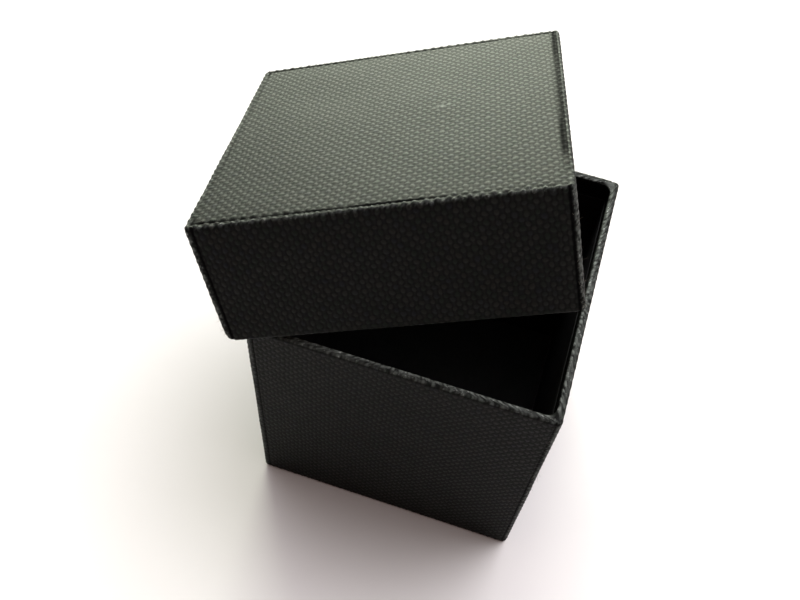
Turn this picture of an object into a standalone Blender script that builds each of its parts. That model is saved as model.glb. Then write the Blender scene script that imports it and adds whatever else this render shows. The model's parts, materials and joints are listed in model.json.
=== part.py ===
"""Small rigid gift box: a square paperboard tray and a lift-off lid, both covered in black canvas-embossed paper.

Metres, +Z up. The origin is the centre of the tray's underside, and the tray's front faces -Y. The lid lies
askew on the tray: it touches the front rim, the back left corner and the back rim, and is free to lift off.
"""

import math

import bmesh
import bpy
from mathutils import Matrix, Vector

# --- driving dimensions -------------------------------------------------------------------------------------
TRAY_SIDE = 0.050
TRAY_HEIGHT = 0.052
LID_SIDE = 0.0539
LID_HEIGHT = 0.0205

BOARD = 0.0008  # grey board
WRAP = 0.00016  # covering paper
STAY = 0.00007  # paper tape round the corners
LINER = 0.00012  # lining paper
GLUE = 0.00003  # gap left at each glued face, so that no two solids share a surface

CORNER_RADIUS = 0.0008  # upright corners of the covering
EDGE_RADIUS = 0.00038  # rims and bottom edges of the covering
CORNER_STEPS = 5
EDGE_STEPS = 4

TRAY_TURN_IN = 0.012  # covering paper turned in over the tray's rim
LID_TURN_IN = 0.0190  # the lid's reaches almost to the underside of its top
STAY_LEG = 0.009  # each stay's width on either side of its corner
STAY_MARGIN = 0.0003  # a stay stops this far short of the boards' edges
LINER_DROP = 0.004  # the lining stops this far below the rim
LINER_SEAM = 0.0004  # butt joint of the lining strip
FOLD_RADIUS = 0.0005  # inside corners of the lining strip

# The lid's rest pose: the centre of its skirt's rim, its turn about the vertical, then its lean.
LID_PLACE = (-0.00646, 0.00472, 0.04954)
LID_TURN = math.radians(13.14)
LID_LEAN = (math.radians(-14.23), math.radians(-19.54))  # rotation vector, about X and Y

# --- sizes that follow --------------------------------------------------------------------------------------
SKIN = WRAP + GLUE  # covering over a flat board
CORNER_SKIN = SKIN + STAY + GLUE  # covering over a taped board
BOARD_CORNER = CORNER_RADIUS - CORNER_SKIN

BOARD_GREY = (0.20, 0.185, 0.165)
TAPE_BROWN = (0.32, 0.24, 0.15)
COVERING_BLACK = (0.030, 0.033, 0.030)
LINING_BLACK = (0.012, 0.014, 0.013)


def clear_scene():
    for old in list(bpy.data.objects):
        bpy.data.objects.remove(old, do_unlink=True)


def make_collection(name):
    collection = bpy.data.collections.new(name)
    bpy.context.scene.collection.children.link(collection)
    return collection


def paper_material(name, colour, roughness):
    material = bpy.data.materials.new(name)
    material.use_nodes = True
    shader = material.node_tree.nodes["Principled BSDF"]
    shader.inputs["Base Color"].default_value = (*colour, 1.0)
    shader.inputs["Roughness"].default_value = roughness
    shader.inputs["Metallic"].default_value = 0.0
    material.diffuse_color = (*colour, 1.0)
    return material


def add_object(name, bm, collection, parent, material, place=(0.0, 0.0, 0.0)):
    mesh = bpy.data.meshes.new(name)
    bm.to_mesh(mesh)
    bm.free()
    mesh.materials.append(material)
    piece = bpy.data.objects.new(name, mesh)
    piece.location = place
    piece.parent = parent
    collection.objects.link(piece)
    return piece


def add_frame(name, collection):
    frame = bpy.data.objects.new(name, None)
    frame.empty_display_size = 0.01
    collection.objects.link(frame)
    return frame


# --- boards -------------------------------------------------------------------------------------------------
def add_board(name, size, place, collection, parent, rounded_side=0):
    """A flat board. rounded_side is -1 or 1 for a full-width wall whose outer upright edges lie at that Y side."""
    bm = bmesh.new()
    bmesh.ops.create_cube(bm, size=1.0, matrix=Matrix.Diagonal((*size, 1.0)))
    weights = bm.edges.layers.float.new("bevel_weight_edge")
    for edge in bm.edges:
        first, second = edge.verts
        upright = abs(first.co.z - second.co.z) > 0.5 * size[2]
        outer = rounded_side != 0 and first.co.y * rounded_side > 0
        edge[weights] = 1.0 if upright and outer else 0.0
    material = paper_material(name, BOARD_GREY, 0.9)
    board = add_object(name, bm, collection, parent, material, place)
    if rounded_side:
        bevel = board.modifiers.new("crushed corners", "BEVEL")
        bevel.limit_method = "WEIGHT"
        bevel.width = BOARD_CORNER
        bevel.segments = CORNER_STEPS
    return board


def add_walls(prefix, side, low, high, collection, parent):
    """Two full-width walls, and two between them."""
    half = side / 2 - CORNER_SKIN
    height = high - low
    middle = (low + high) / 2
    between = 2 * (half - BOARD - GLUE)
    for word, sign in (("front", -1), ("back", 1)):
        place = (0.0, sign * (half - BOARD / 2), middle)
        add_board(f"{prefix}_{word}_board", (2 * half, BOARD, height), place, collection, parent, sign)
    for word, sign in (("left", -1), ("right", 1)):
        place = (sign * (half - BOARD / 2), 0.0, middle)
        add_board(f"{prefix}_{word}_board", (BOARD, between, height), place, collection, parent)


def add_panel(name, side, low, collection, parent):
    """The square board that closes the tray or the lid. It lies inside the walls."""
    across = side - 2 * (CORNER_SKIN + BOARD + GLUE)
    add_board(name, (across, across, BOARD), (0.0, 0.0, low + BOARD / 2), collection, parent)


# --- outlines -----------------------------------------------------------------------------------------------
def square_loop(half, radius, height):
    """Points of a square with round corners, anticlockwise from the right side's front end."""
    points = []
    for quarter in range(4):
        angle = quarter * math.pi / 2
        centre = Matrix.Rotation(angle, 2) @ Vector((half - radius, half - radius))
        for step in range(CORNER_STEPS + 1):
            turn = angle + step / CORNER_STEPS * math.pi / 2
            points.append((centre.x + radius * math.cos(turn), centre.y + radius * math.sin(turn), height))
    return points


def add_ring(bm, points):
    return [bm.verts.new(point) for point in points]


def bridge(bm, first, second):
    count = len(first)
    for index in range(count):
        after = (index + 1) % count
        bm.faces.new((first[index], first[after], second[after], second[index]))


# --- covering paper -----------------------------------------------------------------------------------------
def covering_profile(height, wall, turn_in):
    """The paper's outer face, from the closed end's edge to the rim and down inside, with that end at height 0.
    Each entry is the distance in from the side, the height, and the radius of the corners there."""
    edge = EDGE_RADIUS
    turns = [step / EDGE_STEPS * math.pi / 2 for step in range(EDGE_STEPS + 1)]
    outside = [(edge - edge * math.sin(turn), edge - edge * math.cos(turn)) for turn in turns]
    outside += [(edge - edge * math.cos(turn), height - edge + edge * math.sin(turn)) for turn in turns]
    inside = [(wall - edge + edge * math.sin(turn), height - edge + edge * math.cos(turn)) for turn in turns]
    inside.append((wall, height - turn_in))
    profile = [(inset, level, CORNER_RADIUS - inset) for inset, level in outside]
    profile += [(inset, level, FOLD_RADIUS) for inset, level in inside]
    return profile


def add_covering(name, side, height, turn_in, collection, parent, closed_end_up):
    """One sheet over the closed end, the walls and the rim, as an open surface thickened towards the board."""
    wall = CORNER_SKIN + BOARD + SKIN
    bm = bmesh.new()
    rings = []
    for inset, level, radius in covering_profile(height, wall, turn_in):
        rings.append(add_ring(bm, square_loop(side / 2 - inset, radius, level)))
    bm.faces.new(list(reversed(rings[0])))
    for lower, upper in zip(rings, rings[1:]):
        bridge(bm, lower, upper)
    if closed_end_up:
        flip = Matrix.Translation((0.0, 0.0, height)) @ Matrix.Rotation(math.pi, 4, "X")
        bmesh.ops.transform(bm, matrix=flip, verts=bm.verts)
    material = paper_material(name, COVERING_BLACK, 0.55)
    covering = add_object(name, bm, collection, parent, material)
    thicken(covering, WRAP, -1.0)
    return covering


def thicken(piece, thickness, offset):
    solidify = piece.modifiers.new("thickness", "SOLIDIFY")
    solidify.thickness = thickness
    solidify.offset = offset
    solidify.use_even_offset = True


# --- corner tapes -------------------------------------------------------------------------------------------
def add_stay(name, side, corner, low, high, collection, parent):
    """A tape bent round the outside of one upright corner. corner counts quarter turns from the back right."""
    radius = CORNER_RADIUS - SKIN
    half = side / 2 - SKIN
    bend = [(half, half - STAY_LEG)]
    for step in range(CORNER_STEPS + 1):
        turn = step / CORNER_STEPS * math.pi / 2
        bend.append((half - radius + radius * math.cos(turn), half - radius + radius * math.sin(turn)))
    bend.append((half - STAY_LEG, half))
    bm = bmesh.new()
    lower = add_ring(bm, [(x, y, low) for x, y in bend])
    upper = add_ring(bm, [(x, y, high) for x, y in bend])
    for index in range(len(bend) - 1):
        bm.faces.new((lower[index], lower[index + 1], upper[index + 1], upper[index]))
    bmesh.ops.rotate(bm, matrix=Matrix.Rotation(corner * math.pi / 2, 3, "Z"), verts=bm.verts)
    material = paper_material(name, TAPE_BROWN, 0.7)
    stay = add_object(name, bm, collection, parent, material)
    thicken(stay, STAY, -1.0)
    return stay


def add_stays(prefix, side, low, high, collection, parent):
    for corner, word in enumerate(("back_right", "back_left", "front_left", "front_right")):
        add_stay(f"{prefix}_stay_{word}", side, corner, low, high, collection, parent)


# --- lining -------------------------------------------------------------------------------------------------
def add_wall_liner(name, side, low, high, collection, parent):
    """A strip folded round the inside of the walls, with a butt joint near the right wall's front end."""
    half = side / 2 - (CORNER_SKIN + BOARD + SKIN) - GLUE
    corners = square_loop(half, FOLD_RADIUS, 0.0)
    seam = -half + 2 * FOLD_RADIUS
    path = [(half, seam + LINER_SEAM / 2)]
    path.extend((x, y) for x, y, _ in corners)
    path.append((half, seam - LINER_SEAM / 2))
    bm = bmesh.new()
    lower = add_ring(bm, [(x, y, low) for x, y in path])
    upper = add_ring(bm, [(x, y, high) for x, y in path])
    for index in range(len(path) - 1):
        bm.faces.new((lower[index], lower[index + 1], upper[index + 1], upper[index]))
    material = paper_material(name, LINING_BLACK, 0.8)
    liner = add_object(name, bm, collection, parent, material)
    thicken(liner, LINER, -1.0)
    return liner


def add_flat_liner(name, across, low, collection, parent):
    """A square of lining paper with its corners nipped round. Its underside lies at height low."""
    bm = bmesh.new()
    bm.faces.new(add_ring(bm, square_loop(across / 2, FOLD_RADIUS, low)))
    material = paper_material(name, LINING_BLACK, 0.8)
    liner = add_object(name, bm, collection, parent, material)
    thicken(liner, LINER, 1.0)
    return liner


# --- tray and lid -------------------------------------------------------------------------------------------
def add_tray(collection):
    frame = add_frame("tray_frame", collection)
    bottom = SKIN
    top = TRAY_HEIGHT - CORNER_SKIN
    add_panel("base_floor_board", TRAY_SIDE, bottom, collection, frame)
    add_walls("base", TRAY_SIDE, bottom, top, collection, frame)
    add_stays("base", TRAY_SIDE, bottom + STAY_MARGIN, top - STAY_MARGIN, collection, frame)
    add_covering("base_wrap", TRAY_SIDE, TRAY_HEIGHT, TRAY_TURN_IN, collection, frame, closed_end_up=False)
    floor = bottom + BOARD + GLUE
    add_wall_liner("base_wall_liner", TRAY_SIDE, floor, TRAY_HEIGHT - LINER_DROP, collection, frame)
    inside = TRAY_SIDE - 2 * (CORNER_SKIN + BOARD + SKIN + GLUE + LINER + GLUE)
    add_flat_liner("base_floor_liner", inside, floor, collection, frame)


def add_lid(collection):
    frame = add_frame("lid_frame", collection)
    lean = Matrix.Rotation(math.hypot(*LID_LEAN), 4, Vector((*LID_LEAN, 0.0)))
    turn = Matrix.Rotation(LID_TURN, 4, "Z")
    frame.location = LID_PLACE
    frame.rotation_euler = (lean @ turn).to_euler()
    bottom = CORNER_SKIN
    top = LID_HEIGHT - SKIN
    add_panel("lid_top_board", LID_SIDE, top - BOARD, collection, frame)
    add_walls("lid", LID_SIDE, bottom, top, collection, frame)
    add_stays("lid", LID_SIDE, bottom + STAY_MARGIN, top - STAY_MARGIN, collection, frame)
    add_covering("lid_wrap", LID_SIDE, LID_HEIGHT, LID_TURN_IN, collection, frame, closed_end_up=True)
    inside = LID_SIDE - 2 * (CORNER_SKIN + BOARD + SKIN + GLUE)
    add_flat_liner("lid_top_liner", inside, top - BOARD - GLUE - LINER, collection, frame)


def main():
    clear_scene()
    collection = make_collection("gift_box")
    add_tray(collection)
    add_lid(collection)


main()
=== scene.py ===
"""The look of a small rigid gift box, its covering, lining, boards and tapes, in a pale studio.

Metres, +Z up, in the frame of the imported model. The covering of the tray and of the lid is one sheet each: a
closed end and four flaps, folded over the walls, over the rim and in. The left and right flaps have ears that
go round the corners, and the front and back flaps are glued over those ears.
"""

import json
import math
from dataclasses import dataclass

import bpy
import numpy as np
from mathutils import Matrix, Vector


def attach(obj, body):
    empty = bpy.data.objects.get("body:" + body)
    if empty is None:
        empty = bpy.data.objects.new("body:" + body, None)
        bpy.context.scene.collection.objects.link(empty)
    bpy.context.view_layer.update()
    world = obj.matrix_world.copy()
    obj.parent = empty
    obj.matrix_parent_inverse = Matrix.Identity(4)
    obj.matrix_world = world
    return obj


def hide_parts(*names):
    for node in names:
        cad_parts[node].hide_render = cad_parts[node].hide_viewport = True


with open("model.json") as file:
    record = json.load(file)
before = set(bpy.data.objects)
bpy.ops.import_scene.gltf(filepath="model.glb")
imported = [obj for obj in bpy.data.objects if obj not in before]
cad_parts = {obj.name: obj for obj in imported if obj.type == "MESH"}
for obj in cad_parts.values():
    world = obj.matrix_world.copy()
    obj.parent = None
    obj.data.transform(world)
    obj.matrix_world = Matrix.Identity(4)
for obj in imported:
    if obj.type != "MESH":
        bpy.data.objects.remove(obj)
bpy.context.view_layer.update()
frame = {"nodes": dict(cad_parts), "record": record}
MM = 0.001

# --- covering paper -------------------------------------------------------------------------------
PITCH_ACROSS = 0.753 * MM  # between the threads that run front to back
PITCH_ALONG = 0.800 * MM  # between the threads that run left to right
SAMPLES_PER_THREAD = 4
RELIEF = 0.118 * MM  # from the pits to the tops of the threads
MEAN_HEIGHT = 0.50  # of the weave, where its lowest is 0 and its highest 1
CROSS_SWING = 0.55  # rise and fall of the threads that run left to right
LONG_SWING = 0.0  # and of those that run front to back, which lie level
THREAD_HEIGHT = 0.45  # of a thread's rounded top over the pits beside it
THREAD_ROUNDNESS = 0.8  # power of the cosine that gives its section
FOLD_RELIEF = 1.9  # the threads stand out this much more on the lid's front fold
SIDE_FOLD_RELIEF = 0.6  # and this much on its other folds
RIM_RELIEF = -0.45  # and this much on the rims, where handling has pressed them flat
RIM_INNER_LOSS = 0.5  # but less so on their inner side
FOLD_WIDTH = 0.9 * MM  # over which the relief changes near a fold or a rim
WANDER = 0.12  # of the threads' lines, in threads, over long waves
WANDER_WAVES = (6 * MM, 40 * MM)  # shortest and longest
JITTER = 0.08  # and over short waves
JITTER_WAVES = (1.2 * MM, 4 * MM)
TURN_IN_RELIEF = 0.5  # the emboss is pressed flatter where the paper is turned in

EDGE_RADIUS = 0.48 * MM
CORNER_RADIUS = 0.80 * MM
WALL = 1.28 * MM  # covered wall
INNER_FOLD = 0.50 * MM
RIM_FOLD = 1.60 * MM  # inside corners are rounder at the rim, where the paper bunches
RIM_FOLD_DEPTH = 3.0 * MM

FLAP_STEP = 0.07 * MM  # the front and back flaps lie this much over the ears
LOW_MARGIN = 1.30 * MM  # and end this far from the corner at one end
HIGH_MARGIN = 0.85 * MM  # and this far at the other
CUT_DROP = 0.22 * MM  # of their cut edges onto the ears
CUT_WIDTH = 0.16 * MM
CUT_RAGGEDNESS = 0.04 * MM
CUT_WAVES = (1 * MM, 4 * MM)
FLAP_SETTLE = 2 * MM  # length over which they rise onto the ears, from the fold
SEAM_SHADE_WIDTH = 0.22 * MM  # of the painted shade line where a flap's cut edge lies on the ear
EAR_OVERLAP = 0.60 * MM
EAR_SINK = 0.12 * MM  # of the part of an ear that is under a flap
EAR_SINK_SPAN = (0.10 * MM, -0.15 * MM)
TUCK = 0.30 * MM  # flaps pass this far under the closed end's margin
TUCK_DEPTH = 0.05 * MM

NICK_DEPTH = 0.22 * MM  # at the lid's front left corner, at the rim
NICK_RADIUS = 0.9 * MM

JOINT_INSET = 1.10 * MM  # where the end board meets the wall board, under the paper
JOINT_DEPTH = 0.14 * MM
JOINT_WIDTH = 0.20 * MM

GROOVE_MEAN = 0.70  # strength of the dip over that joint, and of the painted shade in it
GROOVE_VARIATION = 0.30
GROOVE_WAVES = (8 * MM, 30 * MM)
GROOVE_FADE = 0.35  # towards the right
GROOVE_LEFT_LOSS = 0.75  # along the left edge
GROOVE_RANGE = (0.1, 1.1)
GROOVE_FLATTENS = 0.7  # how much of the emboss is lost in it
EDGE_BLEND = 2 * MM  # over which one edge's look turns into the next one's, near a corner

SWELL = 0.035 * MM  # of the flat faces
SWELL_WAVES = (12 * MM, 50 * MM)
SWELL_FADE = 6 * MM  # towards the edges

SHOULDER_WIDTH = 2.1 * MM  # of the strip that is pressed down along the lid's right edge
SHOULDER_DROP = 0.06 * MM
SHOULDER_FADE = 0.9 * MM  # down the flap
SHOULDER_SHADE = 0.5  # painted shade on the pressed, flattened strip, where it tilts away from the light
SHOULDER_START = -0.98  # where it sets in, in halves of the edge's length from its middle
SHOULDER_FULL = -0.55

BOTTOM_FADE = 1.0 * MM  # the tray stands on its highest threads, so its lower folds are drawn in

# --- wear, partly painted highlight ---------------------------------------------------------------
EDGE_WEAR = 0.16  # of the closed end's edges
EDGE_WEAR_WIDTH = 0.40 * MM
EDGE_WEAR_WAVES = (1.2 * MM, 5 * MM)
FOLD_WEAR_AND_HIGHLIGHT = 0.22  # of the flaps' folds: rubbed, and partly painted highlight where they catch the light
FOLD_WEAR_WIDTH = 0.32 * MM
CORNER_WEAR_WIDTH = 0.7 * MM
CORNER_WEAR_INSET = 0.16 * MM
RIM_WEAR_WIDTH = 0.26 * MM
RIM_WEAR_SPAN = (0.096 * MM, 1.23 * MM)  # in from the outer face
RIM_OUTER_WEAR_AND_HIGHLIGHT = 0.35  # of the rim's outer edge, against 1 for its inner edge, which is painted paler as highlight
RIM_WEAR_RISE = (0.35 * WALL, 0.80 * WALL)  # where it grows from the one to the other
FINE_WAVES = (0.4 * MM, 1.6 * MM)
BROAD_WAVES = (3 * MM, 12 * MM)
EDGE_PATCHES = (-1.4, 0.8)  # values of the random field between which wear sets in
CORNER_PATCHES = (-0.8, 0.8)
RIM_PATCHES = (-1.5, 1.0)
SCUFF_PATCHES = (-0.5, 0.7)
SCUFF_PLACE = (8.0 * MM, 2.0 * MM)
SCUFF_HEADING = (0.9, 0.45)
SCUFF_SIZE = (1.4 * MM, 0.55 * MM)
SCUFF_WEAR = 0.35
SCUFF_WAVES = (0.5 * MM, 1.5 * MM)
SCUFF_SEED = 91

# --- covering finish ------------------------------------------------------------------------------
COVER_GREEN = (0.0038, 0.0065, 0.0038)
COVER_BROWN = (0.0072, 0.0057, 0.0038)
COVER_BLUE = (0.0038, 0.0046, 0.0065)
COVER_PALE = (0.0095, 0.0105, 0.0088)
# painted shade in the pits of the weave
COVER_PIT_SHADE = (0.0015, 0.0018, 0.0015)
# rubbed paper, and partly painted highlight on edges
WEAR_AND_HIGHLIGHT_COLOURS = ((0.10, 0.114, 0.102), (0.33, 0.365, 0.335))
# painted highlight glints
HIGHLIGHT_SPECK_COLOUR = (0.72, 0.76, 0.72)
# painted shade, for the sunk joint line, the cut edges of the flaps on the ears and the pressed shoulder
PAINTED_SHADE_COLOUR = (0.0008, 0.0008, 0.0008)
COVER_ROUGHNESS = (0.70, 0.58)  # of the pits and of the threads' tops
COVER_SPECULAR = 0.085
DRIFT_SCALE = 90.0  # of the noise that makes broad paler patches
GRAIN_SCALE = 9000.0
HIGHLIGHT_SPECK_SCALE = 3200.0
WEAVE_BUMP = 0.02 * MM
GRAIN_BUMP = 0.04 * MM

# --- camera ---------------------------------------------------------------------------------------
CAMERA_PLACE = (12.704 * MM, -88.242 * MM, 168.524 * MM)
CAMERA_AZIMUTH = math.radians(12.346)
CAMERA_ELEVATION = math.radians(56.183)
CAMERA_ROLL = math.radians(6.384)
CAMERA_LENS = 40.09
CAMERA_SENSOR = 36.0

# --- studio ---------------------------------------------------------------------------------------
FLOOR_REACH = 3.0
FLOOR_COLOURS = ((0.80, 0.795, 0.79), (0.84, 0.835, 0.83))
WINDOW_TARGET = (0.0, 0.0, 0.05)
WINDOW_PLACE = (-0.29, 0.80, 0.125)
WINDOW_SIZE = (0.52, 0.19)
WINDOW_POWER = 17.0
WINDOW_COLOUR = (0.92, 1.0, 0.80)
ROOM_COLOUR = (0.085, 0.034, 0.024)
BACKDROP_COLOUR = (0.93, 0.93, 0.92)
SKY_GLOWS = (  # azimuth and elevation in degrees, tightness, colour
    (42, 52, 12, (3.6, 3.5, 3.6)),
    (76, 57, 12, (3.4, 3.3, 3.4)),
    (114, 57, 12, (2.9, 2.85, 2.9)),
    (185, 18, 10, (0.6, 0.57, 0.51)),
    (0, 18, 10, (0.4, 0.38, 0.35)),
)


# --- frames of the tray and the lid ---------------------------------------------------------------
def node_points(name):
    vertices = frame["nodes"][name].data.vertices
    points = np.empty(len(vertices) * 3, np.float32)
    vertices.foreach_get("co", points)
    return points.reshape(-1, 3).astype(float)


def middle(name):
    return node_points(name).mean(axis=0)


def unit(vector):
    return vector / np.linalg.norm(vector)


def body_axes(prefix):
    """Columns are the body's own right, back and up, from the places of its wall boards."""
    across = unit(middle(f"{prefix}_right_board") - middle(f"{prefix}_left_board"))
    along = middle(f"{prefix}_back_board") - middle(f"{prefix}_front_board")
    along = unit(along - across * np.dot(along, across))
    return np.stack((across, along, np.cross(across, along)), axis=1)


@dataclass
class Shape:
    """A covering's size, which way its closed end faces, and its place."""

    half: float
    height: float
    turn_in: float
    closed_up: bool
    axes: np.ndarray
    origin: np.ndarray
    body: str
    node: str
    slant: float  # of the weave against the edges
    corner_wear: float
    seam: float  # how dark the painted shade line is where a front or back flap ends on an ear
    seed: int


def measure_shape(prefix, **looks):
    """Takes a covering's size and place from its CAD node, and its other values from the call."""
    node = f"{prefix}_wrap"
    axes = body_axes(prefix)
    local = node_points(node) @ axes
    low = local.min(axis=0)
    high = local.max(axis=0)
    centre = (low + high) / 2
    return Shape(
        half=(high[0] - low[0]) / 2,
        height=high[2] - low[2],
        axes=axes,
        origin=axes @ np.array((centre[0], centre[1], low[2])),
        body=prefix,
        node=node,
        **looks,
    )


# --- smooth random fields -------------------------------------------------------------------------
class Waves:
    """A smooth random field over the sheet, between about -1 and 1, as a sum of waves."""

    def __init__(self, seed, shortest, longest, count=14):
        random = np.random.default_rng(seed)
        length = random.uniform(shortest, longest, count)
        angle = random.uniform(0, 2 * math.pi, count)
        self.kx = 2 * math.pi / length * np.cos(angle)
        self.ky = 2 * math.pi / length * np.sin(angle)
        self.phase = random.uniform(0, 2 * math.pi, count)
        self.scale = 1.4 / math.sqrt(count)

    def __call__(self, u, v):
        total = np.zeros_like(u)
        for kx, ky, phase in zip(self.kx, self.ky, self.phase):
            total += np.sin(kx * u + ky * v + phase)
        return total * self.scale


def smooth(low, high, value):
    share = np.clip((value - low) / (high - low), 0, 1)
    return share * share * (3 - 2 * share)


def hump(value, centre, width):
    return np.exp(-(((value - centre) / width) ** 2))


# --- weave ----------------------------------------------------------------------------------------
def thread_coordinates(shape, u, v):
    """Counts threads across and along the sheet. A whole number is a thread's middle."""
    wander_across = Waves(shape.seed + 1, *WANDER_WAVES)(u, v)
    wander_along = Waves(shape.seed + 2, *WANDER_WAVES)(u, v)
    across = (u * math.cos(shape.slant) + v * math.sin(shape.slant)) / PITCH_ACROSS
    along = (v * math.cos(shape.slant) - u * math.sin(shape.slant)) / PITCH_ALONG
    jitter_across = Waves(shape.seed + 20, *JITTER_WAVES)(u, v)
    jitter_along = Waves(shape.seed + 21, *JITTER_WAVES)(u, v)
    across += WANDER * wander_across + JITTER * jitter_across
    along += WANDER * wander_along + JITTER * jitter_along
    return across, along


def thread_height(swing, along, over, parity):
    """Height of one set of threads: its middle line's rise and fall, and a thread's rounded top."""
    top = THREAD_HEIGHT * np.maximum(over * parity, 0) ** THREAD_ROUNDNESS
    return swing * along * parity + top


def weave_height(i, j):
    """Height of a plain weave, where threads of rounded section pass over and under each other."""
    parity_i = np.cos(math.pi * np.round(i))
    parity_j = np.cos(math.pi * np.round(j))
    wave_i = np.cos(math.pi * i)
    wave_j = np.cos(math.pi * j)
    cross = thread_height(CROSS_SWING, wave_i, wave_j, parity_j)
    long = thread_height(-LONG_SWING, wave_j, wave_i, parity_i)
    return np.maximum(cross, long)


# --- surface of a flap ----------------------------------------------------------------------------
QUARTERS = ((1, 0), (0, 1), (-1, 0), (0, -1))  # cosine and sine of each number of quarter turns


def profile(shape, s):
    """Distance in from the side and distance from the closed end, at length s down a flap from its fold."""
    e = EDGE_RADIUS
    quarter = e * math.pi / 2
    ends = np.cumsum((0, quarter, shape.height - 2 * e, quarter, WALL - 2 * e, quarter))
    a = np.clip((s - ends[0]) / e, 0, math.pi / 2)
    b = np.clip((s - ends[2]) / e, 0, math.pi / 2)
    c = np.clip((s - ends[4]) / e, 0, math.pi / 2)
    down = np.clip(s, ends[1], ends[2]) - ends[1]
    flat = np.clip(s, ends[3], ends[4]) - ends[3]
    back = np.maximum(s - ends[5], 0)
    before = np.maximum(-s, 0)
    inset = e + before - e * np.sin(a) + e * (1 - np.cos(b)) + flat + e * np.sin(c)
    level = e * (1 - np.cos(a)) + down + e * np.sin(b) - e * (1 - np.cos(c)) - back
    return inset, level


def flap_length(shape):
    return EDGE_RADIUS * math.pi * 1.5 + shape.height - 4 * EDGE_RADIUS + WALL + shape.turn_in


def flap_point(shape, quarter_turns, t, s):
    """Point of the smooth sheet in the body's own axes, at t along the wall and s down the flap."""
    inset, level = profile(shape, s)
    straight = shape.half - CORNER_RADIUS
    side = np.sign(t)
    angle = np.clip((np.abs(t) - straight) / CORNER_RADIUS, 0, math.pi / 2)
    past = np.maximum(np.abs(t) - straight - CORNER_RADIUS * math.pi / 2, 0)
    run = np.minimum(np.abs(t), straight)

    radius = CORNER_RADIUS - inset
    outer_x = straight + radius * np.cos(angle) - past
    outer_y = run + radius * np.sin(angle)

    depth = shape.height - level
    fold = INNER_FOLD + (RIM_FOLD - INNER_FOLD) * (1 - smooth(0, RIM_FOLD_DEPTH, depth))
    centre = shape.half - inset - fold
    inner_x = centre + fold * np.cos(angle) - past
    inner_y = run * centre / straight + fold * np.sin(angle)

    inside = np.clip((inset - EDGE_RADIUS) / (WALL - 2 * EDGE_RADIUS), 0, 1) * (level > shape.height / 2)
    x = outer_x + (inner_x - outer_x) * inside
    y = side * (outer_y + (inner_y - outer_y) * inside)
    z = shape.height - level if shape.closed_up else level
    cos, sin = QUARTERS[quarter_turns]
    return np.stack((cos * x - sin * y, sin * x + cos * y, z), axis=-1)


def sheet_place(shape, quarter_turns, t, s):
    """Place on the unfolded sheet, from the middle of the closed end."""
    outward = shape.half - EDGE_RADIUS + s
    cos, sin = QUARTERS[quarter_turns]
    return cos * outward - sin * t, sin * outward + cos * t


NORMAL_STEP = 0.02 * MM


def outward_normals(shape, quarter_turns, t, s):
    step = NORMAL_STEP
    along = flap_point(shape, quarter_turns, t + step, s) - flap_point(shape, quarter_turns, t - step, s)
    down = flap_point(shape, quarter_turns, t, s + step) - flap_point(shape, quarter_turns, t, s - step)
    normal = np.cross(along, down) * (-1 if shape.closed_up else 1)
    return normal / np.maximum(np.linalg.norm(normal, axis=-1, keepdims=True), 1e-12)


# --- meshes ---------------------------------------------------------------------------------------
def grid_mesh(name, points, flip):
    """A mesh of quads over a grid of points with the shape (rows, columns, 3)."""
    rows, columns = points.shape[:2]
    index = np.arange(rows * columns, dtype=np.int32).reshape(rows, columns)
    corners = (index[:-1, :-1], index[:-1, 1:], index[1:, 1:], index[1:, :-1])
    if flip:
        corners = corners[::-1]
    quads = np.stack(corners, axis=-1).reshape(-1, 4)
    mesh = bpy.data.meshes.new(name)
    mesh.vertices.add(rows * columns)
    mesh.vertices.foreach_set("co", points.astype(np.float32).ravel())
    mesh.loops.add(quads.size)
    mesh.loops.foreach_set("vertex_index", quads.ravel())
    mesh.polygons.add(len(quads))
    mesh.polygons.foreach_set("loop_start", np.arange(0, quads.size, 4, dtype=np.int32))
    mesh.update(calc_edges=True)
    mesh.shade_smooth()
    return mesh


def store(mesh, name, *fields):
    """Keeps three numbers for each vertex, for the material to read.

    The third is the wear and painted light: above 0 the paper is rubbed pale, partly as painted highlight, and
    below 0 it is painted dark as shade, where it dips at the joint, where the cut edges of the flaps lie on
    the ears and on the pressed shoulder.
    """
    attribute = mesh.attributes.new(name, "FLOAT_VECTOR", "POINT")
    values = np.stack([np.broadcast_to(f, fields[0].shape) for f in fields], axis=-1)
    attribute.data.foreach_set("vector", values.astype(np.float32).ravel())


def place_piece(name, mesh, shape, material):
    piece = bpy.data.objects.new(name, mesh)
    bpy.context.scene.collection.objects.link(piece)
    mesh.materials.append(material)
    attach(piece, shape.body)
    return piece


def to_world(shape, points):
    return points @ shape.axes.T + shape.origin


def grid_steps(length, pitch):
    return max(2, round(length / pitch * SAMPLES_PER_THREAD) + 1)


# --- closed end -----------------------------------------------------------------------------------
def joint_groove(shape, inset, u, v):
    """How far, from 0 to about 1, the paper sinks into the joint between the end board and the walls; the same
    amount sets how dark the painted shade is there.
    """
    varied = GROOVE_MEAN + GROOVE_VARIATION * Waves(shape.seed + 3, *GROOVE_WAVES)(u, v)
    strength = varied - GROOVE_FADE * u / shape.half
    on_left = smooth(0, EDGE_BLEND, -u - np.abs(v))
    strength = np.clip(strength, *GROOVE_RANGE) * (1 - GROOVE_LEFT_LOSS * on_left)
    return strength * hump(inset, JOINT_INSET, JOINT_WIDTH)


def face_swell(shape, u, v):
    return SWELL * Waves(shape.seed + 4, *SWELL_WAVES)(u, v)


def shoulder(shape, v):
    """How much, from 0 to 1, the lid's right edge is pressed down: less towards its front corner."""
    return smooth(SHOULDER_START * shape.half, SHOULDER_FULL * shape.half, v)


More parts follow.
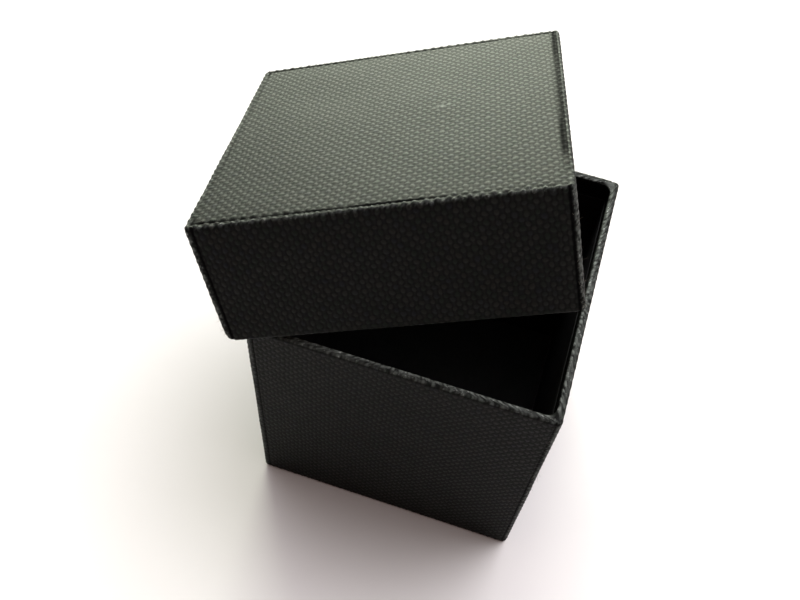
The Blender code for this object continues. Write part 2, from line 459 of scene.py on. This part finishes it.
def round_corners(u, v, ring, edge):
    """Draws the outermost rings of a square grid in round its corners."""
    radius = np.maximum(CORNER_RADIUS - EDGE_RADIUS - (edge - ring), 0)
    into_x = np.abs(u) - (ring - radius)
    into_y = np.abs(v) - (ring - radius)
    corner = (into_x > 0) & (into_y > 0) & (radius > 0)
    safe = np.where(corner, radius, 1)
    angle = np.where(into_x >= into_y, into_y / safe, 2 - into_x / safe) * math.pi / 4
    x = np.where(corner, np.sign(u) * (ring - radius + radius * np.cos(angle)), u)
    y = np.where(corner, np.sign(v) * (ring - radius + radius * np.sin(angle)), v)
    return x, y


def add_closed_end(name, shape, material):
    edge = shape.half - EDGE_RADIUS
    steps = grid_steps(2 * edge, PITCH_ACROSS)
    line = np.linspace(-edge, edge, steps)
    u, v = np.meshgrid(line, line)
    ring = np.maximum(np.abs(u), np.abs(v))
    x, y = round_corners(u, v, ring, edge)

    i, j = thread_coordinates(shape, u, v)
    weave = weave_height(i, j)
    inset = shape.half - ring
    groove_and_shade = joint_groove(shape, inset, u, v)
    rise = RELIEF * (weave - MEAN_HEIGHT) * (1 - GROOVE_FLATTENS * groove_and_shade) - JOINT_DEPTH * groove_and_shade
    if shape.closed_up:
        in_front = smooth(0, EDGE_BLEND, -v - np.abs(u))
        fold_relief = SIDE_FOLD_RELIEF + (FOLD_RELIEF - SIDE_FOLD_RELIEF) * in_front
        rise += fold_relief * RELIEF * (weave - MEAN_HEIGHT) * hump(inset, EDGE_RADIUS, FOLD_WIDTH)
        rise += face_swell(shape, u, v) * smooth(0, SWELL_FADE, inset)
        pressed = shoulder(shape, v) * smooth(SHOULDER_WIDTH, EDGE_RADIUS, shape.half - u)
        rise -= SHOULDER_DROP * pressed
        # painted shade on the pressed strip along the right edge
        groove_and_shade = np.maximum(groove_and_shade, SHOULDER_SHADE * pressed)
    else:
        rise -= RELIEF * (1 - MEAN_HEIGHT)
    sign = 1 if shape.closed_up else -1
    level = shape.height if shape.closed_up else 0
    points = np.stack((x, y, level + sign * rise), axis=-1)
    mesh = grid_mesh(name, to_world(shape, points), flip=not shape.closed_up)
    # The sunk joint line and the pressed shoulder are painted dark as shade, through the third number.
    store(mesh, "weave", i, j, wear_on_end(shape, u, v, inset) - groove_and_shade)
    return place_piece(name, mesh, shape, material)


def wear_on_end(shape, u, v, inset):
    patches = Waves(shape.seed + 5, *EDGE_WEAR_WAVES)(u, v)
    wear = EDGE_WEAR * hump(inset, EDGE_RADIUS, EDGE_WEAR_WIDTH) * smooth(*EDGE_PATCHES, patches)
    if shape.closed_up:
        wear = np.maximum(wear, scuff(u, v))
    return np.clip(wear, 0, 1)


def scuff(u, v):
    """One small pale rub on the lid's top."""
    ragged = Waves(SCUFF_SEED, *SCUFF_WAVES)(u, v)
    from_u = u - SCUFF_PLACE[0]
    from_v = v - SCUFF_PLACE[1]
    along = from_u * SCUFF_HEADING[0] + from_v * SCUFF_HEADING[1]
    across = from_v * SCUFF_HEADING[0] - from_u * SCUFF_HEADING[1]
    spot = hump(along, 0, SCUFF_SIZE[0]) * hump(across, 0, SCUFF_SIZE[1])
    return SCUFF_WEAR * spot * smooth(*SCUFF_PATCHES, ragged)


# --- flaps ----------------------------------------------------------------------------------------
FLAP_WORDS = ("right", "back", "left", "front")
RIGHT, BACK, LEFT, FRONT = range(len(FLAP_WORDS))  # in quarter turns from the right


def flap_span(shape, over):
    """Where a flap starts and ends along its wall. Those under the others go past the corners as ears."""
    if over:
        return LOW_MARGIN - shape.half, shape.half - HIGH_MARGIN
    corner = shape.half - CORNER_RADIUS + CORNER_RADIUS * math.pi / 2
    low = -corner - (HIGH_MARGIN - CORNER_RADIUS) - EAR_OVERLAP
    high = corner + (LOW_MARGIN - CORNER_RADIUS) + EAR_OVERLAP
    return low, high


def flap_grid(shape, over):
    """Grid of t along the wall and s down the flap, and each place's distance from the flap's side edges."""
    low, high = flap_span(shape, over)
    pitch_t, pitch_s = (PITCH_ACROSS, PITCH_ALONG) if over else (PITCH_ALONG, PITCH_ACROSS)
    length = flap_length(shape)
    line_t = np.linspace(low, high, grid_steps(high - low, pitch_t))
    line_s = np.linspace(0, length, grid_steps(length, pitch_s))
    line_s = np.concatenate(((-TUCK, -TUCK / 2), line_s))
    t, s = np.meshgrid(line_t, line_s)
    return t, s, np.minimum(t - low, high - t)


def flap_relief(shape, quarter_turns, s, level, turned_in):
    """Depth of the emboss: flatter on the rim and where the paper is turned in, fuller on the lid's folds."""
    relief = RELIEF * (1 - (1 - TURN_IN_RELIEF) * turned_in)
    at_rim = hump(level, shape.height, FOLD_WIDTH) * (1 - RIM_INNER_LOSS * turned_in)
    fold_relief = FOLD_RELIEF if quarter_turns == FRONT else SIDE_FOLD_RELIEF
    at_fold = hump(s, 0, FOLD_WIDTH) if shape.closed_up else 0
    return relief * (1 + fold_relief * at_fold + RIM_RELIEF * at_rim)


def side_edges(shape, over, s, from_edge, inset, turned_in):
    """Rise of a flap near its side edges, and the distance in from where a front or back flap's cut edge lies.
    """
    if over:
        settle = smooth(0, FLAP_SETTLE, s) * (1 - turned_in)
        ragged = CUT_RAGGEDNESS * Waves(shape.seed + 6, *CUT_WAVES)(s, s * 0)
        cut = (1 - smooth(0, CUT_WIDTH, from_edge + ragged)) * (inset < WALL)
        return FLAP_STEP * settle - CUT_DROP * cut, from_edge
    from_seam = from_edge - EAR_OVERLAP
    return -EAR_SINK * smooth(*EAR_SINK_SPAN, from_seam), from_seam


def lid_marks(shape, quarter_turns, t, s):
    """Rise from the pressed shoulder on the right, and from the nick at the front of the left flap's rim."""
    if quarter_turns == RIGHT:
        return -SHOULDER_DROP * shoulder(shape, t) * (1 - smooth(0, SHOULDER_FADE, s))
    if quarter_turns == LEFT:
        corner = shape.half - CORNER_RADIUS + CORNER_RADIUS * math.pi / 4
        from_nick = np.hypot(t - corner, s - shape.height)
        return -NICK_DEPTH * hump(from_nick, 0, NICK_RADIUS)
    return 0


def add_flap(name, shape, quarter_turns, material):
    over = quarter_turns in (BACK, FRONT)
    t, s, from_edge = flap_grid(shape, over)

    # Past the corner an ear runs along the next wall, and its threads go straight on.
    u, v = sheet_place(shape, quarter_turns, t, s)
    i, j = thread_coordinates(shape, u, v)
    inset, level = profile(shape, s)
    turned_in = smooth(WALL - 2 * EDGE_RADIUS, WALL - EDGE_RADIUS, inset) * (level > EDGE_RADIUS)
    relief = flap_relief(shape, quarter_turns, s, level, turned_in)
    edge_rise, from_seam = side_edges(shape, over, s, from_edge, inset, turned_in)
    below = smooth(0, SWELL_FADE, level)
    above = smooth(0, SWELL_FADE, shape.height - level)

    rise = relief * (weave_height(i, j) - MEAN_HEIGHT) + edge_rise
    rise += face_swell(shape, u, v) * below * above * (inset < EDGE_RADIUS)
    rise -= TUCK_DEPTH * smooth(0, TUCK, -s)
    if shape.closed_up:
        rise += lid_marks(shape, quarter_turns, t, s)
    else:
        rise -= RELIEF * (1 - MEAN_HEIGHT) * (1 - smooth(0, BOTTOM_FADE, s))

    points = flap_point(shape, quarter_turns, t, s)
    points += outward_normals(shape, quarter_turns, t, s) * rise[..., None]
    mesh = grid_mesh(name, to_world(shape, points), flip=shape.closed_up)
    # painted shade along the line where a front or back flap's cut edge lies on the ear
    seam = shape.seam * hump(from_seam, 0, SEAM_SHADE_WIDTH) * (inset < EDGE_RADIUS)
    store(mesh, "weave", i, j, wear_and_highlight_on_flap(shape, t, s, inset, level) - seam)
    return place_piece(name, mesh, shape, material)


def wear_and_highlight_on_flap(shape, t, s, inset, level):
    """Rubbed pale in patches on the upright corners, the rim and the fold, and painted paler there as
    highlight.
    """
    fine = Waves(shape.seed + 7, *FINE_WAVES)(t, s)
    broad = Waves(shape.seed + 8, *BROAD_WAVES)(t, s)
    outside = inset < EDGE_RADIUS
    # The upright corners are rubbed pale, and painted paler as highlight where their rounded edges catch the
    # light.
    corner = hump(np.abs(t), shape.half - CORNER_WEAR_INSET, CORNER_WEAR_WIDTH) * outside
    wear = shape.corner_wear * corner * smooth(*CORNER_PATCHES, fine + 0.6 * broad)

    # The rim is rubbed pale, and its inner edge is painted paler as highlight.
    on_rim = (inset > RIM_WEAR_SPAN[0]) & (inset < RIM_WEAR_SPAN[1])
    rim = hump(level, shape.height, RIM_WEAR_WIDTH) * on_rim
    inward = RIM_OUTER_WEAR_AND_HIGHLIGHT + (1 - RIM_OUTER_WEAR_AND_HIGHLIGHT) * smooth(*RIM_WEAR_RISE, inset)
    wear = np.maximum(wear, rim * inward * smooth(*RIM_PATCHES, fine + 0.4 * broad))

    # The fold is rubbed pale, partly as painted highlight along its rounded edge.
    fold = hump(s, EDGE_RADIUS / 2, FOLD_WEAR_WIDTH)
    wear = np.maximum(wear, FOLD_WEAR_AND_HIGHLIGHT * fold * smooth(*EDGE_PATCHES, fine + 0.5 * broad))
    return np.clip(wear, 0, 1)


def add_covering(prefix, end_word, shape, material):
    pieces = [add_closed_end(f"{prefix}_cover_{end_word}", shape, material)]
    for quarter_turns, word in enumerate(FLAP_WORDS):
        pieces.append(add_flap(f"{prefix}_cover_{word}", shape, quarter_turns, material))
    for piece in pieces:
        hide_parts(shape.node)


# --- fibres ---------------------------------------------------------------------------------------
FIBRE_THICKNESS = 0.05 * MM
FIBRE_LENGTHS = (0.35 * MM, 1.1 * MM)
FIBRE_OUTWARD = 0.8
FIBRE_LEAN = 0.7
FIBRE_CURL = 0.5
FIBRE_TAPER = 0.8
FIBRE_SPREAD = 0.9  # over this much of the corner's radius
FIBRE_RINGS = 6
FIBRE_SIDES = 4


def fibre_points(random, root, outward, sideways):
    """Rings round a thin fibre that leaves the paper, bends and tapers."""
    length = random.uniform(*FIBRE_LENGTHS)
    lean = random.uniform(-1, 1, 3) * FIBRE_LEAN
    curl = random.uniform(-1, 1, 3) * FIBRE_CURL
    along = unit(outward * FIBRE_OUTWARD + lean)
    across = unit(np.cross(along, sideways))
    around = np.cross(along, across)
    rings = []
    for ring in range(FIBRE_RINGS):
        share = ring / (FIBRE_RINGS - 1)
        centre = root + length * (share * along + share**2 * curl)
        radius = FIBRE_THICKNESS / 2 * (1 - FIBRE_TAPER * share)
        for side in range(FIBRE_SIDES):
            angle = 2 * math.pi * side / FIBRE_SIDES
            rings.append(centre + radius * (math.cos(angle) * across + math.sin(angle) * around))
    return rings


def fibre_faces(first):
    faces = [tuple(first + side for side in reversed(range(FIBRE_SIDES)))]
    for ring in range(FIBRE_RINGS - 1):
        low = first + ring * FIBRE_SIDES
        for side in range(FIBRE_SIDES):
            after = (side + 1) % FIBRE_SIDES
            faces.append((low + side, low + after, low + FIBRE_SIDES + after, low + FIBRE_SIDES + side))
    last = first + (FIBRE_RINGS - 1) * FIBRE_SIDES
    faces.append(tuple(last + side for side in range(FIBRE_SIDES)))
    return faces


def add_fibres(name, shape, side, count, gather, material):
    """Frayed fibres along the front corner on one side, the nearer to the rim the lower gather is."""
    random = np.random.default_rng(shape.seed + 40 + side)
    vertices = []
    faces = []
    for _ in range(count):
        t = side * (shape.half - CORNER_RADIUS * random.uniform(0.0, FIBRE_SPREAD))
        s = shape.height * random.uniform(0.02, 1.0) ** gather
        place = (np.array([t]), np.array([s]))
        root = flap_point(shape, FRONT, *place)[0]
        outward = outward_normals(shape, FRONT, *place)[0]
        faces += fibre_faces(len(vertices))
        vertices += fibre_points(random, root, outward, np.array((0.0, 0.0, 1.0)))
    mesh = bpy.data.meshes.new(name)
    mesh.from_pydata(to_world(shape, np.array(vertices)).tolist(), [], faces)
    mesh.shade_smooth()
    return place_piece(name, mesh, shape, material)


# --- materials ------------------------------------------------------------------------------------
class Nodes:
    """Short calls that build the node tree of one material or world."""

    def __init__(self, owner):
        self.owner = owner
        owner.use_nodes = True
        self.tree = owner.node_tree

    def link(self, value, socket):
        if isinstance(value, bpy.types.NodeSocket):
            self.tree.links.new(value, socket)
        else:
            socket.default_value = value

    def node(self, kind, **settings):
        made = self.tree.nodes.new(kind)
        for name, value in settings.items():
            setattr(made, name, value)
        return made

    def math(self, operation, *values):
        made = self.node("ShaderNodeMath", operation=operation)
        for index, value in enumerate(values):
            self.link(value, made.inputs[index])
        return made.outputs[0]

    def mix(self, factor, first, second, blend="MIX"):
        made = self.node("ShaderNodeMix", data_type="RGBA", blend_type=blend)
        self.link(factor, made.inputs["Factor"])
        for value, index in ((first, 6), (second, 7)):
            colour = value if isinstance(value, bpy.types.NodeSocket) else (*value, 1.0)
            self.link(colour, made.inputs[index])
        return made.outputs[2]

    def span(self, value, low, high, to_low=0.0, to_high=1.0):
        made = self.node("ShaderNodeMapRange", interpolation_type="SMOOTHSTEP")
        for name, given in (
            ("Value", value),
            ("From Min", low),
            ("From Max", high),
            ("To Min", to_low),
            ("To Max", to_high),
        ):
            self.link(given, made.inputs[name])
        return made.outputs["Result"]

    def place(self):
        return self.node("ShaderNodeTexCoord").outputs["Object"]

    def noise(self, vector, scale, detail=4.0, roughness=0.6):
        made = self.node("ShaderNodeTexNoise")
        self.link(vector, made.inputs["Vector"])
        made.inputs["Scale"].default_value = scale
        made.inputs["Detail"].default_value = detail
        made.inputs["Roughness"].default_value = roughness
        return made.outputs["Fac"]

    def stretch(self, vector, amounts):
        made = self.node("ShaderNodeMapping")
        self.link(vector, made.inputs["Vector"])
        made.inputs["Scale"].default_value = amounts
        return made.outputs["Vector"]

    def bump(self, height, distance, normal=None):
        made = self.node("ShaderNodeBump")
        made.inputs["Distance"].default_value = distance
        made.inputs["Strength"].default_value = 1.0
        self.link(height, made.inputs["Height"])
        if normal is not None:
            self.link(normal, made.inputs["Normal"])
        return made.outputs["Normal"]

    def finish(self, colour, roughness, normal, **constants):
        shader = self.tree.nodes["Principled BSDF"]
        self.link(colour, shader.inputs["Base Color"])
        self.link(roughness, shader.inputs["Roughness"])
        self.link(normal, shader.inputs["Normal"])
        for name, value in constants.items():
            shader.inputs[name.replace("_", " ")].default_value = value
        return self.owner


def weave_nodes(nodes):
    """The weave's height from 0 to 1, the numbers of the nearest crossing, and the wear with its painted
    highlight and shade, from the mesh.
    """
    attribute = nodes.node("ShaderNodeAttribute", attribute_name="weave")
    parts = nodes.node("ShaderNodeSeparateXYZ")
    nodes.link(attribute.outputs["Vector"], parts.inputs[0])
    i, j, wear = parts.outputs

    row = nodes.math("ROUND", j)
    column = nodes.math("ROUND", i)
    number = nodes.node("ShaderNodeCombineXYZ")
    nodes.link(column, number.inputs[0])
    nodes.link(row, number.inputs[1])

    def wave(count):
        return nodes.math("COSINE", nodes.math("MULTIPLY", count, math.pi))

    def thread(swing, along, over, parity):
        upper_half = nodes.math("MAXIMUM", nodes.math("MULTIPLY", over, parity), 0.0)
        top = nodes.math("POWER", upper_half, THREAD_ROUNDNESS)
        middle_line = nodes.math("MULTIPLY", nodes.math("MULTIPLY", along, parity), swing)
        return nodes.math("MULTIPLY_ADD", top, THREAD_HEIGHT, middle_line)

    cross = thread(CROSS_SWING, wave(i), wave(j), wave(row))
    long = thread(-LONG_SWING, wave(j), wave(i), wave(column))
    return nodes.math("MAXIMUM", cross, long), number.outputs[0], wear


def covering_material():
    nodes = Nodes(bpy.data.materials.new("canvas_embossed_paper"))
    height, crossing, wear = weave_nodes(nodes)
    place = nodes.place()

    random = nodes.node("ShaderNodeTexWhiteNoise", noise_dimensions="2D")
    nodes.link(crossing, random.inputs["Vector"])
    tints = nodes.node("ShaderNodeSeparateColor")
    nodes.link(random.outputs["Color"], tints.inputs[0])
    lightness, blueness, _ = tints.outputs

    top_colour = nodes.mix(nodes.span(random.outputs["Value"], 0.25, 0.75), COVER_GREEN, COVER_BROWN)
    top_colour = nodes.mix(nodes.span(blueness, 0.6, 0.95), top_colour, COVER_BLUE)
    drift = nodes.span(nodes.noise(place, DRIFT_SCALE, detail=2.0), 0.3, 0.7, 0.3, 1.0)
    paleness = nodes.math("MULTIPLY", drift, nodes.span(lightness, 0.0, 1.0, 0.15, 1.0))
    top_colour = nodes.mix(paleness, top_colour, COVER_PALE)
    # The pits are coloured darker: painted shade in the hollows of the emboss.
    colour = nodes.mix(nodes.span(height, 0.1, 0.8), COVER_PIT_SHADE, top_colour)

    grain = nodes.noise(place, GRAIN_SCALE, detail=3.0)
    # Pale where the third number is above 0: rubbed paper, and partly painted highlight on the corners, the
    # rim and the folds.
    wear_and_highlight_colour = nodes.mix(grain, *WEAR_AND_HIGHLIGHT_COLOURS)
    # Bright specks in the rubbed places: painted highlight glints.
    specks = nodes.noise(place, HIGHLIGHT_SPECK_SCALE, detail=2.0)
    wear_and_highlight_colour = nodes.mix(nodes.span(specks, 0.60, 0.68), wear_and_highlight_colour, HIGHLIGHT_SPECK_COLOUR)
    worn_height = nodes.span(height, 0.3, 0.85, 0.5, 1.0)
    wear_and_highlight = nodes.math("MULTIPLY", nodes.math("MAXIMUM", wear, 0.0), worn_height)
    colour = nodes.mix(wear_and_highlight, colour, wear_and_highlight_colour)
    # Painted shade where the third number is below 0: the sunk joint line, the cut edges of the flaps on the
    # ears and the pressed shoulder are coloured near black.
    painted_shade = nodes.span(wear, -0.7, 0.0, 1.0, 0.0)
    colour = nodes.mix(painted_shade, colour, PAINTED_SHADE_COLOUR)

    roughness = nodes.span(height, 0.1, 0.8, *COVER_ROUGHNESS)
    roughness = nodes.math("ADD", roughness, nodes.math("MULTIPLY_ADD", grain, 0.16, -0.08))
    roughness = nodes.math("MULTIPLY_ADD", wear_and_highlight, -0.1, roughness)
    roughness = nodes.math("MULTIPLY_ADD", painted_shade, 0.4, roughness)
    normal = nodes.bump(height, WEAVE_BUMP)
    normal = nodes.bump(grain, GRAIN_BUMP, normal=normal)
    return nodes.finish(colour, roughness, normal, Specular_IOR_Level=COVER_SPECULAR)


TAPE_COLOURS = ((0.25, 0.18, 0.105), (0.38, 0.29, 0.19))
LINING_COLOURS = ((0.006, 0.007, 0.007), (0.017, 0.019, 0.018))
FIBRE_COLOURS = ((0.05, 0.045, 0.036), (0.16, 0.14, 0.11))
BOARD_COLOURS = ((0.13, 0.12, 0.105), (0.27, 0.25, 0.22))
BOARD_SPECK_COLOUR = (0.06, 0.055, 0.05)


def plain_paper(name, dark, light, roughness, fibre_scale):
    """Smooth paper with fine fibres and a slight mottle."""
    nodes = Nodes(bpy.data.materials.new(name))
    place = nodes.place()
    fibres = nodes.noise(nodes.stretch(place, (1.0, 0.35, 0.6)), fibre_scale, detail=6.0)
    mottle = nodes.noise(place, 160.0, detail=3.0)
    blend = nodes.math("MULTIPLY_ADD", fibres, 0.7, nodes.math("MULTIPLY", mottle, 0.3))
    colour = nodes.mix(nodes.span(blend, 0.35, 0.65), dark, light)
    rough = nodes.span(fibres, 0.3, 0.7, roughness - 0.08, roughness + 0.08)
    return nodes.finish(colour, rough, nodes.bump(fibres, 0.03 * MM), Specular_IOR_Level=0.35)


def board_material():
    """Recycled grey board: pressed flakes and specks of darker and lighter pulp."""
    nodes = Nodes(bpy.data.materials.new("grey_board"))
    place = nodes.place()
    flakes = nodes.noise(nodes.stretch(place, (1.0, 1.0, 0.5)), 1400.0, detail=8.0, roughness=0.7)
    specks = nodes.noise(place, 3500.0, detail=2.0)
    colour = nodes.mix(nodes.span(flakes, 0.3, 0.7), *BOARD_COLOURS)
    colour = nodes.mix(nodes.span(specks, 0.68, 0.74), colour, BOARD_SPECK_COLOUR)
    rough = nodes.span(flakes, 0.3, 0.7, 0.82, 0.95)
    return nodes.finish(colour, rough, nodes.bump(flakes, 0.05 * MM), Specular_IOR_Level=0.3)


def dress_nodes():
    """Gives every CAD node that stays its material."""
    finishes = {
        "board": board_material(),
        "stay_tape": plain_paper("gummed_tape", *TAPE_COLOURS, roughness=0.6, fibre_scale=1500.0),
        "lining": plain_paper("black_lining", *LINING_COLOURS, roughness=0.72, fibre_scale=1800.0),
    }
    for part in frame["record"]["subparts"]:
        if part["material_slot"] in finishes:
            node = frame["nodes"][part["node"]]
            node.data.materials.clear()
            node.data.materials.append(finishes[part["material_slot"]])


# --- floor, light and camera ----------------------------------------------------------------------
def floor_material():
    nodes = Nodes(bpy.data.materials.new("pale_floor"))
    mottle = nodes.noise(nodes.place(), 40.0, detail=3.0)
    colour = nodes.mix(mottle, *FLOOR_COLOURS)
    return nodes.finish(colour, 0.9, nodes.bump(mottle, 0.02 * MM), Specular_IOR_Level=0.1)


def add_floor():
    reach = FLOOR_REACH
    mesh = bpy.data.meshes.new("floor")
    corners = [(-reach, -reach, 0), (reach, -reach, 0), (reach, reach, 0), (-reach, reach, 0)]
    mesh.from_pydata(corners, [], [(0, 1, 2, 3)])
    mesh.materials.append(floor_material())
    floor = bpy.data.objects.new("floor", mesh)
    bpy.context.scene.collection.objects.link(floor)


def add_area_light(name, place, target, size, power, colour):
    data = bpy.data.lights.new(name, "AREA")
    data.shape = "RECTANGLE"
    data.size, data.size_y = size
    data.energy = power
    data.color = colour
    light = bpy.data.objects.new(name, data)
    light.location = place
    light.rotation_euler = (Vector(target) - Vector(place)).to_track_quat("-Z", "Y").to_euler()
    light.visible_camera = False
    bpy.context.scene.collection.objects.link(light)


def heading(azimuth, elevation):
    """Unit vector turned from +X towards +Y by the azimuth, and up from the floor by the elevation."""
    flat = math.cos(elevation)
    return (math.cos(azimuth) * flat, math.sin(azimuth) * flat, math.sin(elevation))


def add_world():
    """A dim, warm room, with broad soft glows high behind the object and faint low ones at its sides.

    The camera itself sees a plain pale backdrop.
    """
    world = bpy.data.worlds.new("room")
    nodes = Nodes(world)
    direction = nodes.node("ShaderNodeTexCoord").outputs["Generated"]
    light = ROOM_COLOUR
    for azimuth, elevation, tightness, colour in SKY_GLOWS:
        toward = nodes.node("ShaderNodeVectorMath", operation="DOT_PRODUCT")
        nodes.link(direction, toward.inputs[0])
        toward.inputs[1].default_value = heading(math.radians(azimuth), math.radians(elevation))
        nearness = nodes.math("MULTIPLY_ADD", toward.outputs["Value"], tightness, -tightness)
        glow = nodes.math("EXPONENT", nearness)
        light = nodes.mix(glow, light, colour, blend="ADD")
    seen = nodes.node("ShaderNodeLightPath").outputs["Is Camera Ray"]
    nodes.link(nodes.mix(seen, light, BACKDROP_COLOUR), nodes.tree.nodes["Background"].inputs["Color"])
    bpy.context.scene.world = world


def add_camera():
    data = bpy.data.cameras.new("camera")
    data.sensor_width = CAMERA_SENSOR
    data.lens = CAMERA_LENS
    data.clip_start = 0.01
    data.clip_end = 20.0
    camera = bpy.data.objects.new("camera", data)
    back = Vector(heading(CAMERA_AZIMUTH - math.pi / 2, CAMERA_ELEVATION))
    level = (-back).cross(Vector((0, 0, 1))).normalized()
    upright = level.cross(-back)
    right = level * math.cos(CAMERA_ROLL) + upright * math.sin(CAMERA_ROLL)
    up = upright * math.cos(CAMERA_ROLL) - level * math.sin(CAMERA_ROLL)
    turn = Matrix((right, up, back)).transposed()
    camera.matrix_world = Matrix.Translation(CAMERA_PLACE) @ turn.to_4x4()
    bpy.context.scene.collection.objects.link(camera)
    bpy.context.scene.camera = camera


def add_studio():
    add_floor()
    add_world()
    add_camera()
    add_area_light("window", WINDOW_PLACE, WINDOW_TARGET, WINDOW_SIZE, WINDOW_POWER, WINDOW_COLOUR)
    bpy.context.scene.view_settings.view_transform = "Standard"


covering = covering_material()
tray = measure_shape(
    "base",
    turn_in=12.0 * MM,
    closed_up=False,
    slant=math.radians(0.6),
    corner_wear=0.38,
    seam=0.4,
    seed=11,
)
lid = measure_shape(
    "lid",
    turn_in=18.2 * MM,
    closed_up=True,
    slant=math.radians(1.4),
    corner_wear=0.48,
    seam=1.0,
    seed=23,
)
add_covering("base", "bottom", tray, covering)
add_covering("lid", "top", lid, covering)
fibre = plain_paper("paper_fibre", *FIBRE_COLOURS, roughness=0.7, fibre_scale=2500.0)
add_fibres("base_fibres", tray, side=1, count=14, gather=1.0, material=fibre)
add_fibres("lid_fibres_right", lid, side=1, count=34, gather=0.45, material=fibre)
add_fibres("lid_fibres_left", lid, side=-1, count=8, gather=0.3, material=fibre)
dress_nodes()
add_studio()
